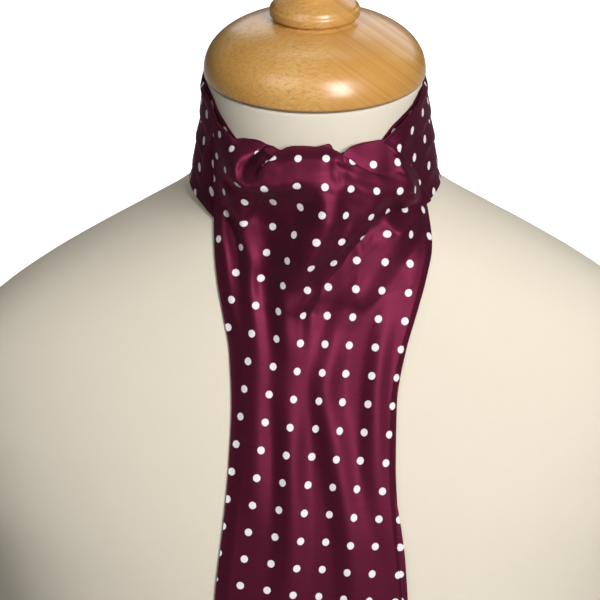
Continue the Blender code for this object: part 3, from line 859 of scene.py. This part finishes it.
# the top blade comes up behind the crossing, rolls over it and falls in folds to its pointed end
topBlade = {
    "thickness": 0.6,
    "cut": (0.184, 0.332),
    "cutArea": 0.0359,
    "crease": [  # across, down: where the falling cloth begins, right of the notch its fold over the panel
        (-52.5, 12.5), (-44, 15.8), (-35, 16), (-27, 16), (-18.5, 18.2), (-9, 15.8), (0, 15.6), (7, 15.2),
        (12, 18), (19, 22.5), (28, 27), (37, 31), (46, 35.5), (54.5, 40),
    ],
    "topEdge": [
        (-52.5, 12.5), (-44, 15.8), (-40.5, 16.6), (-35.8, 16), (-30.6, 15.2), (-26.4, 15.6), (-22, 16.7),
        (-18.4, 18.7), (-15, 17), (-10.8, 15.8), (-5, 15.5), (0, 15.8), (3.7, 15.2), (6.3, 14.6),
        (8.4, 17), (11.5, 19), (14, 18.4), (19.2, 16.8), (25.3, 16.2), (30.7, 16.3), (34.3, 16.5),
        (37, 16),
    ],
    "panelTop": [(11, 19), (20.4, 18), (30.7, 16.8), (37, 16), (41, 13.4), (46, 10.8), (56, 8)],
    "panelRoll": [(0, 62.4), (1, 62.9), (3, 63.6), (6, 64.6), (10, 65.8), (14, 66.8), (20, 67.6)],
    "overlap": [  # across, down, lap, softness: the falling cloth's edge over the right panel
        (6.6, 12.5, 0.2, 1.1), (8.9, 17, 1.4, 1.2), (11.6, 19.6, 2.8, 1.3), (15.5, 21.8, 3, 1.3),
        (20.7, 25.3, 2.4, 1.4), (25.9, 28.3, 1.8, 1.6), (31.2, 31.2, 1.1, 2.2), (39.2, 35.1, 0.3, 4.5),
        (47, 38, 0, 7), (56, 41, 0, 8),
    ],
    "bend": 1.4,
    "hook": [  # behind the top edge: inward, down, inward where it is short
        (0.6, 0.1, 0.6), (1.4, 0.8, 1), (2, 2.2, 1.1), (2.2, 5, 1.2), (2.2, 9, 1.2),
    ],
    "hookLong": ((-36, -31), (10, 7)),  # across: where the hook gets its full length and where it loses it
    "hookShort": 0.3,  # of "down", where it is short
    "sides": [  # down, left, right
        (11, -52.5, 37), (16, -52.5, 37.3), (20, -52.5, 40.2), (24, -52.5, 43.4), (28, -52.5, 46.2),
        (36, -52.5, 51), (42, -52.5, 53.4), (50, -52.5, 55), (56, -52.5, 56), (62, -52.5, 59),
        (76, -52, 61), (90, -50.5, 58), (106, -47.5, 53), (125, -44, 47), (150, -43, 42.5),
        (180, -44.5, 42), (215, -48, 44), (250, -52, 47), (290, -54, 48),
    ],
    "tip": 326.0,
    "point": 52.0,
    "roll": [  # below the crease, crest, lap
        (0, 60.3, 67.6), (0.6, 61.6, 68.6), (2, 63.8, 69.8), (4, 67.4, 71.2), (7, 69.1, 72.5),
        (11, 71.1, 74.3), (15, 73.1, 73.3), (18, 73.5, 72.6), (22, 72.7, 71.6), (27, 70.7, 70.8),
        (34, 68.8, 69.3), (42, 68, 69.2), (52, 68.1, 69.6), (65, 68.8, 70.3), (85, 71.5, 73.6),
    ],
    "lapSides": ((8, 16), (-36, -44)),  # across: where the roll goes over from its crest's to its laps' shape
    "halfLeft": 60.5,
    "halfRight": 67.0,
    "fullness": 0.3,  # how much squarer than an ellipse the throat gets, over the first 30 of the fall
    "chestStand": 4.1,
    "chestBlend": 7,
    "foldsFrom": (-1, 7),  # below the crease
    "floor": 3.5,  # the least height over the form, and over what lies beneath the blade
    "clear": 0.9,
    "floorBlend": 1.5,
    "columns": 185,
    "rows": (134, 62),  # of points, at the throat and below it
    "throatShare": 0.29,
    "evening": 14,
    "dotAt": (5.2, 33.0),  # the lattice of dots is set out from this one
    "dotsRunTo": (-4.0, 89.0),  # and a row of them runs through this place
    "folds": {  # across, down, lift, reach to the left, reach to the right, seen along the path
        "lip and brow": [
            (-21, 15.5, 0.4, 3.4, 3.4), (-27, 15.5, -1.2, 3.4, 3.4), (-33.5, 16, 5.4, 3.7, 3.4),
            (-37.5, 21.5, 7.2, 3.8, 3.5), (-41.5, 27, 8.8, 4.1, 3.7), (-41, 33.5, 9.8, 5, 3.5),
            (-35.5, 34, 7.9, 5, 4), (-30, 35, 4.6, 6.1, 4.2), (-22.5, 34, 4.6, 7.2, 4.6),
            (-12, 28, 1.3, 8.8, 9.9), (2, 27.5, -2.1, 6.2, 6), (12, 28, -5.3, 5.7, 11.9),
        ],
        "pocket": [
            (-20.5, 19.5, -1.2, 3.4, 3.4), (-24, 20, -3.9, 3.4, 3.5), (-28.5, 21, -6.4, 3.9, 4.1),
            (-33.5, 25, -7.7, 4, 4.3), (-35.5, 30, -4.5, 3.9, 3.5),
        ],
        "right brow": [
            (13.5, 30, 1.2, 6.5, 6.5), (25.5, 31.5, -2.4, 6.5, 7), (37, 36.5, 0.1, 7.9, 7.1),
            (51, 39.5, 8.1, 6, 7),
        ],
        "left hollow": [
            (-21.5, 43, -4.7, 5.8, 18.3), (-27.5, 52, -6.2, 5.5, 16.9), (-33, 62, -6.2, 6, 13.5),
            (-28.5, 76, -2.4, 4.8, 15.6), (-27, 90.5, -4.9, 5.2, 8.5), (-24.5, 104.5, -2.3, 6, 5),
            (-21, 120, -1.8, 7, 5.8),
        ],
        "left ridge": [
            (-42, 41, 0.1, 5, 5.9), (-42, 50, 2, 5.5, 6), (-38.5, 56.5, 4, 6, 7), (-35, 65, 5.6, 7, 8),
            (-33, 80, 4.4, 7, 8), (-32, 98, 3.6, 7, 7.5), (-31, 120, 3.6, 7, 7), (-30, 150, 3.4, 7, 7),
            (-31, 200, 2, 8, 8),
        ],
        "left trough": [
            (-47.5, 47, 0.2, 4.8, 4.8), (-46.5, 56.5, -4.8, 4.8, 4.8), (-44.5, 64.5, -4.6, 4.8, 5),
            (-42, 75, -3.2, 4.8, 5.2), (-40, 90, -1.5, 5, 5), (-38, 106, -0.6, 5, 5),
        ],
        "left edge fold": [
            (-49, 44, 1.8, 4.8, 5.1), (-51, 60, 4.8, 4.8, 4.8), (-46, 78, 2.2, 5.1, 4.9),
            (-43, 100, 0.5, 5, 5),
        ],
        "centre ridge": [
            (6.5, 27, 2.8, 13.1, 9.6), (11.5, 36, 1.7, 13.3, 5.9), (6.5, 45, 9.4, 9, 9.6),
            (3.5, 53.5, 13, 10.2, 11.7), (0.5, 64, 15.1, 15.6, 7.3), (-1.5, 76, 15.8, 20, 7.5),
            (-2, 89, 12, 23.5, 4.8), (-7.5, 100, 11.1, 21.1, 4.8), (-14, 131, 4.6, 13.1, 19.3),
            (-13, 170, 5, 7, 8), (-12, 215, 3.6, 8, 9), (-16, 262, 1.8, 9, 10),
        ],
        "right trough": [
            (19, 37, -1.2, 4.8, 4.8), (16, 43, 0.2, 4.8, 4.9), (11, 50.5, 2.3, 4.8, 5),
            (8, 60.5, 3.1, 4.8, 4.8), (5.5, 71, -1.6, 4.8, 4.8), (-1, 80.5, -5, 5.1, 6.1),
            (-5, 93, -5, 8.3, 7.4), (-9, 105.5, -4.9, 6.3, 8.5),
        ],
        "upper lobe": [
            (50, 45, 0.9, 7.2, 5.9), (40, 46.5, -2.5, 7, 6.6), (30, 49, 1.6, 7.3, 6.2),
            (23, 52.5, 2.1, 7.5, 5.8), (17.5, 61.5, 5.9, 6.1, 5.4), (10.5, 69.5, 8.6, 7.6, 6.4),
            (7.5, 79.5, 4.5, 4.8, 6.7), (5, 90, 1.5, 4.8, 7.1),
        ],
        "crevice": [
            (56, 57.5, -7.7, 6.3, 8), (46, 57, -10.3, 5, 4.8), (38, 53.5, -8.2, 6.4, 4.9),
            (31.5, 58.5, -4.6, 5.8, 6.9), (25, 63.5, -3.8, 5.3, 4.8), (17.5, 69.5, -4.7, 4.8, 4.8),
            (9.5, 79.5, -3.7, 4.8, 4.8), (4, 88.5, -1.1, 4.8, 5.8), (0, 97, 2, 8.6, 5.4),
            (-3.5, 108, 3.1, 4.8, 7.9),
        ],
        "lower lobe": [
            (44, 65, 4.4, 4.8, 7.6), (40, 74, 3.4, 7.7, 12.3), (31, 83.5, 2.2, 7.4, 10.3),
            (23, 94, 3.7, 7.9, 9.6), (14, 102.5, 1.2, 6.7, 8.6), (11, 113.5, 2.7, 5.3, 8.3),
            (4.5, 136, 4.8, 7, 8), (11, 175, 4.6, 7, 8), (19, 220, 3.4, 8, 10), (22, 270, 2, 10, 13),
        ],
        "lobe crease": [
            (41, 56, -2.6, 4.8, 4.8), (47, 60.5, -1.8, 4.8, 4.8), (49, 69.5, -2.2, 4.8, 4.8),
            (49, 80, -1.3, 4.8, 5),
        ],
        "lobe edge": [
            (50, 58, 0.9, 4.8, 4.8), (49, 68.5, 4.1, 6.6, 4.8), (51.5, 80, 1.1, 5.6, 4.9), (49, 95, 1, 5, 5),
        ],
        "chest edge": [(36, 108, 1.5, 6, 6), (32, 135, 3.4, 6, 6), (31, 170, 3, 7, 7), (36, 215, 1, 9, 9)],
    },
    "panelFolds": {
        "bulge": [
            (25.5, 17.5, -2.8, 10.8, 10.4), (35, 19, -2, 12.9, 8.2), (41.5, 28.5, -0.1, 10.7, 8.6),
            (51, 36, 10.4, 13.4, 7.6),
        ],
        "bow": [(10, 22, -0.2, 6, 5.4), (20, 23, 1.6, 6.5, 6.6), (29.5, 27.5, 1.7, 10.8, 11.2)],
    },
    "sideRoll": (7.0, 3.5),  # how far in from the left and the right side the cloth turns back
    "sideLift": 0.25,  # how much of its height it keeps there
    "sideGap": 0.1,
    "laps": {  # across, down, rise, lap; high is 1 where the side to +X of a line that runs down lies on top
        "lip": {
            "high": -1, "reach": (4.5, 3.5), "bend": 1.0, "dip": 0.5,
            "path": [
                (-21, 17.4, 0.3, 0.2), (-24.5, 17.4, 1.2, 0.8), (-28.5, 18.8, 2.2, 1.4),
                (-32.5, 21.6, 2.6, 1.8), (-35.8, 25.6, 2.6, 1.8), (-37, 29.6, 2, 1.2),
                (-36.2, 32.8, 0.8, 0.5), (-33.5, 34.6, 0.1, 0.1),
            ],
        },
        "slot": {
            "high": 1, "reach": (6.0, 3.5), "bend": 1.2, "dip": 0.35,
            "path": [
                (-18.4, 18.2, 0.5, 0.2), (-20.2, 20.4, 2, 1.2), (-23, 22.6, 2.8, 1.8), (-26, 25, 2.8, 1.8),
                (-28.6, 27.8, 2, 1.2), (-30, 30.2, 0.8, 0.5), (-30.8, 32, 0.2, 0.2),
            ],
        },
        "crevice": {
            "high": -1, "reach": (6.0, 5.0), "bend": 1.3, "dip": 0.4,
            "path": [
                (54, 53.5, 0.2, 0.2), (46, 54.8, 1, 1.2), (38, 54.5, 1.6, 1.8), (31, 56.6, 1.8, 1.8),
                (25, 64, 1.8, 1.6), (19, 71, 1.6, 1.4), (11, 81, 1.2, 1.2), (4, 88.5, 0.8, 0.8),
                (-1, 97, 0.3, 0.3),
            ],
        },
    },
}
bladeCrease = smoothThrough(topBlade["crease"])
bladeTop = smoothThrough(topBlade["topEdge"])
panelTop = smoothThrough(topBlade["panelTop"])
panelRoll = smoothThrough(topBlade["panelRoll"])
rollCrest, rollLap = columnsOf(topBlade["roll"], 1, 2)


def supportOut(across, down):
    # what the blade lies on: the form, and the neck piece where there is one
    form = formOut(across, down)
    toward = np.degrees(np.arcsin(np.clip(across / 64.0, -0.99, 0.99)))
    toward = np.where(toward > 20, toward - 360, toward)  # the neck piece's own count on the right side
    inside = eased((neckBottomEdge(toward) + 2 - down) / 6) * (np.abs(across) < 62)
    return np.maximum(form + 0.3, mixed(form, outAt(wrapRadius(toward, down), across), inside))


def laidOut(across, down, lift):
    # the falling cloth: a roll over the crossing, its folds, and then the chest
    sizes = topBlade
    form = formOut(across, down)
    below = np.maximum(0, down - bladeCrease(across))
    lapRight, lapLeft = sizes["lapSides"]
    lap = np.maximum(rising(across, *lapRight), rising(across, *lapLeft))
    bulge = mixed(rollCrest(below), rollLap(below), lap)
    half = np.where(across < 0, sizes["halfLeft"], sizes["halfRight"])
    power = 2 + sizes["fullness"] * rising(below, 0, 30)
    share = np.minimum(0.97, np.abs(across) / half)
    throat = bulge * (1 - share**power) ** (1 / power)
    plain = softMax(throat, form + sizes["chestStand"], sizes["chestBlend"])
    floor = np.maximum(form + sizes["floor"], supportOut(across, down) + sizes["clear"])
    return softMax(plain + lift * rising(below, *sizes["foldsFrom"]), floor, sizes["floorBlend"])


def edgeAcross(share):
    return mixed(topBlade["topEdge"][0][0], topBlade["topEdge"][-1][0], share)


def fallingDrops():
    # how far down the blade each row of points is, closest at the throat
    (throatRows, lowRows), throatShare = topBlade["rows"], topBlade["throatShare"]
    throat, low = np.linspace(0, throatShare, throatRows), np.linspace(throatShare, 1.0, lowRows)
    return np.concatenate([[0.0, 0.0012], throat[1:], low[1:]])


def pointedGrid(sizes, shares, drops, start):
    # a blade from its start down to its point, seen from the front
    left, right = columnsOf(sizes["sides"], 1, 2)
    share, drop = np.meshgrid(shares, drops)
    end = sizes["tip"] - sizes["point"] * np.abs(2 * share - 1)
    down = mixed(start, end, drop)
    return share, mixed(left(down), right(down), share), down, right(down) - left(down)


def hookBehind(across, out, down, share):
    # the cloth goes on behind its top edge, further where it comes up from under the crossing
    sizes = topBlade
    hookFrom, hookTo = sizes["hookLong"]
    full = rising(edgeAcross(share), *hookFrom) * rising(edgeAcross(share), *hookTo)
    rows = []
    for inward, below, shortInward in sizes["hook"]:
        radius = np.hypot(across, out) - mixed(shortInward, inward, full)
        low = down + below * mixed(sizes["hookShort"], 1.0, full)
        rows.insert(0, placed(across, outAt(radius, across), low))
    return np.array(rows)


def dotsAligned(flat, across, down):
    # turns the flat cloth so that a row of dots runs from dotAt, which is at (0, 0), through dotsRunTo
    farAcross, farDown = topBlade["dotsRunTo"]
    far = np.hypot(across - farAcross, down - farDown)
    row, column = np.unravel_index(np.argmin(far), far.shape)
    u, v = flat[row + len(topBlade["hook"]), column]
    turn = math.atan2(u, v)
    c, s = math.cos(turn), math.sin(turn)
    return np.stack([flat[..., 0] * c - flat[..., 1] * s, flat[..., 0] * s + flat[..., 1] * c], -1)


def makeTopBlade():
    sizes = topBlade
    shares = np.linspace(0, 1, sizes["columns"])
    share, across, down, width = pointedGrid(sizes, shares, fallingDrops(), bladeTop(edgeAcross(shares)))
    folds = softened(softFolds(sizes["folds"], across, down), sizes["evening"])
    panelFolds = softened(softFolds(sizes["panelFolds"], across, down), sizes["evening"])
    lapLift, moveAcross, moveDown = lappedFolds(sizes["laps"], across, down)
    overlap = smoothPath(sizes["overlap"], 1.0)
    distance, side, (over, softness), wayAcross, wayDown = nearPath(overlap, across, down)
    onPanel = eased(0.5 + distance * np.sign(side) / (2 * softness))
    pull = drawnIn(over, distance, sizes["bend"])
    across = across + moveAcross + pull * wayAcross
    down = down + moveDown + pull * wayDown

    laid = laidOut(across, down, folds + lapLift)
    panel = outAt(panelRoll(down - panelTop(across)), across) + panelFolds
    out = mixed(laid, panel, onPanel)
    fromSide = np.minimum(share, 1 - share) * width
    support = supportOut(across, down) + sizes["thickness"] + sizes["sideGap"]
    atSide = np.maximum(support, mixed(support, out, sizes["sideLift"]))
    out = mixed(atSide, out, rising(fromSide, 0, mixed(*sizes["sideRoll"], eased(share * 4 - 2))))
    front = np.concatenate([hookBehind(across[0], out[0], down[0], share[0]), placed(across, out, down)])

    dotAcross, dotDown = sizes["dotAt"]
    row = int(np.argmin(np.abs(down[:, sizes["columns"] // 2 - 2] - dotDown)))
    column = int(np.argmin(np.abs(across[row] - dotAcross)))
    flat = dotsAligned(flattened(front, row + len(sizes["hook"]), column), across, down)
    piece = clothShell("topBlade", front, flat, sizes["thickness"], silk)
    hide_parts("cravat_top_blade", "cravat_riser")
    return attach(piece, "root")


makeTopBlade()
report("top blade ready")


underBlade = {
    "thickness": 1.0,
    "cut": (0.092, 0.263),
    "cutArea": 0.0184,
    "sides": [(86, -30, 34), (120, -31, 35), (170, -32, 38), (230, -38, 47), (300, -41, 51)],
    "start": 86.0,
    "tip": 341.0,
    "point": 52.0,
    "stand": 1.6,
    "wave": 0.5,
    "waveRun": 7.5,
    "waveFrom": (150, 210),  # down
    "dotsShift": (4.0, 6.0),
    "columns": 73,
    "rows": 145,
}


def makeUnderBlade():
    sizes = underBlade
    columns, rows = sizes["columns"], sizes["rows"]
    shares, drops = np.linspace(0, 1, columns), np.linspace(0, 1, rows)
    _, across, down, _ = pointedGrid(sizes, shares, drops, sizes["start"])
    wave = sizes["wave"] * (1 + np.cos(across / sizes["waveRun"])) * rising(down, *sizes["waveFrom"])
    front = placed(across, formOut(across, down) + sizes["stand"] + wave, down)
    flat = flattened(front, rows // 2, columns // 2) + np.array(sizes["dotsShift"])
    piece = clothShell("underBlade", front, flat, sizes["thickness"], silk)
    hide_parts("cravat_under_blade")
    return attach(piece, "root")


makeUnderBlade()
report("under blade ready")


studio = {
    "camera": {"target": (-7.7, 60.0, 102.1), "distance": 1900.0, "pitch": 24.0, "lens": 219.24},
    "lights": {  # place: degrees to +X and degrees up, seen from the aim
        "key": {"place": (28, 30), "far": 1.75, "size": (0.6, 1.3), "power": 8.4, "spread": 80},
        "fill": {"place": (-45, 45), "far": 2.2, "size": (1.2, 1.2), "power": 10.5},
        "back": {"place": (165, 25), "far": 2.2, "size": (2.8, 1.2), "power": 16.0},
        "wash": {  # lights the floor behind the form
            "place": (0, 88), "far": 2.4, "size": (2.0, 1.2), "power": 6.0, "aim": (0, 1.25, 0), "spread": 70,
        },
    },
    "surround": 0.01,
    "floorSide": 24.0,  # metres
    "floorGlow": 0.8,
}


def makeFloor():
    floor = Finish("pale studio floor", {"Roughness": 0.9, "Emission Strength": studio["floorGlow"]})
    speck = floor.noise(floor.places(), 3.0, 2.0)
    seen = floor.add("ShaderNodeLightPath", {}, {})  # the glow is seen and lights nothing
    look = floor.finishWith({
        "Base Color": floor.blend(speck, (0.56, 0.56, 0.57), (0.62, 0.62, 0.62)),
        "Emission Color": floor.blend(seen, (0, 0, 0), (1, 1, 1)),
    })
    half = studio["floorSide"] / 2 / mm
    corners = [(-half, -half, 0), (half, -half, 0), (half, half, 0), (-half, half, 0)]
    meshPiece("studioFloor", corners, [(0, 1, 2, 3)], look)


def softBox(name, place, far, size, power, aim=(0, -0.03, 0.47), spread=180):
    turn, rise = np.radians(place)
    light = bpy.data.lights.new(name, "AREA")
    light.shape = "RECTANGLE"
    light.size, light.size_y = size
    light.energy = power
    light.spread = math.radians(spread)
    lamp = inScene(name, light)
    way = Vector((math.sin(turn) * math.cos(rise), -math.cos(turn) * math.cos(rise), math.sin(rise)))
    lamp.location = Vector(aim) + way * far
    lamp.rotation_euler = way.to_track_quat("Z", "Y").to_euler()


def makeStudio():
    makeFloor()
    for name, facts in studio["lights"].items():
        softBox(name, **facts)
    world = bpy.data.worlds.new("pale surround")
    world.use_nodes = True
    surround = Nodes(world.node_tree)
    surround.tree.nodes.remove(surround.tree.nodes["Background"])
    seen = surround.add("ShaderNodeLightPath", {}, {}, "Is Camera Ray")
    dim = surround.add("ShaderNodeBackground", {}, {"Color": (1, 1, 1), "Strength": studio["surround"]})
    pale = surround.add("ShaderNodeBackground", {}, {"Color": (1, 1, 1)})
    either = surround.add("ShaderNodeMixShader", {}, {0: seen, 1: dim, 2: pale})
    surround.feed(surround.tree.nodes["World Output"].inputs["Surface"], either)
    bpy.context.scene.world = world
    bpy.context.scene.view_settings.view_transform = "Standard"


def makeCamera():
    facts = studio["camera"]
    across, out, down = facts["target"]
    target = Vector((across, -out, neckTop - down)) * mm
    pitch = math.radians(facts["pitch"])
    lens = bpy.data.cameras.new("camera")
    lens.lens = facts["lens"]
    lens.clip_end = 60.0
    camera = inScene("camera", lens)
    camera.location = target + Vector((0, -math.cos(pitch), math.sin(pitch))) * facts["distance"] * mm
    camera.rotation_euler = (target - camera.location).to_track_quat("-Z", "Y").to_euler()
    bpy.context.scene.camera = camera


makeStudio()
makeCamera()
report("studio ready")
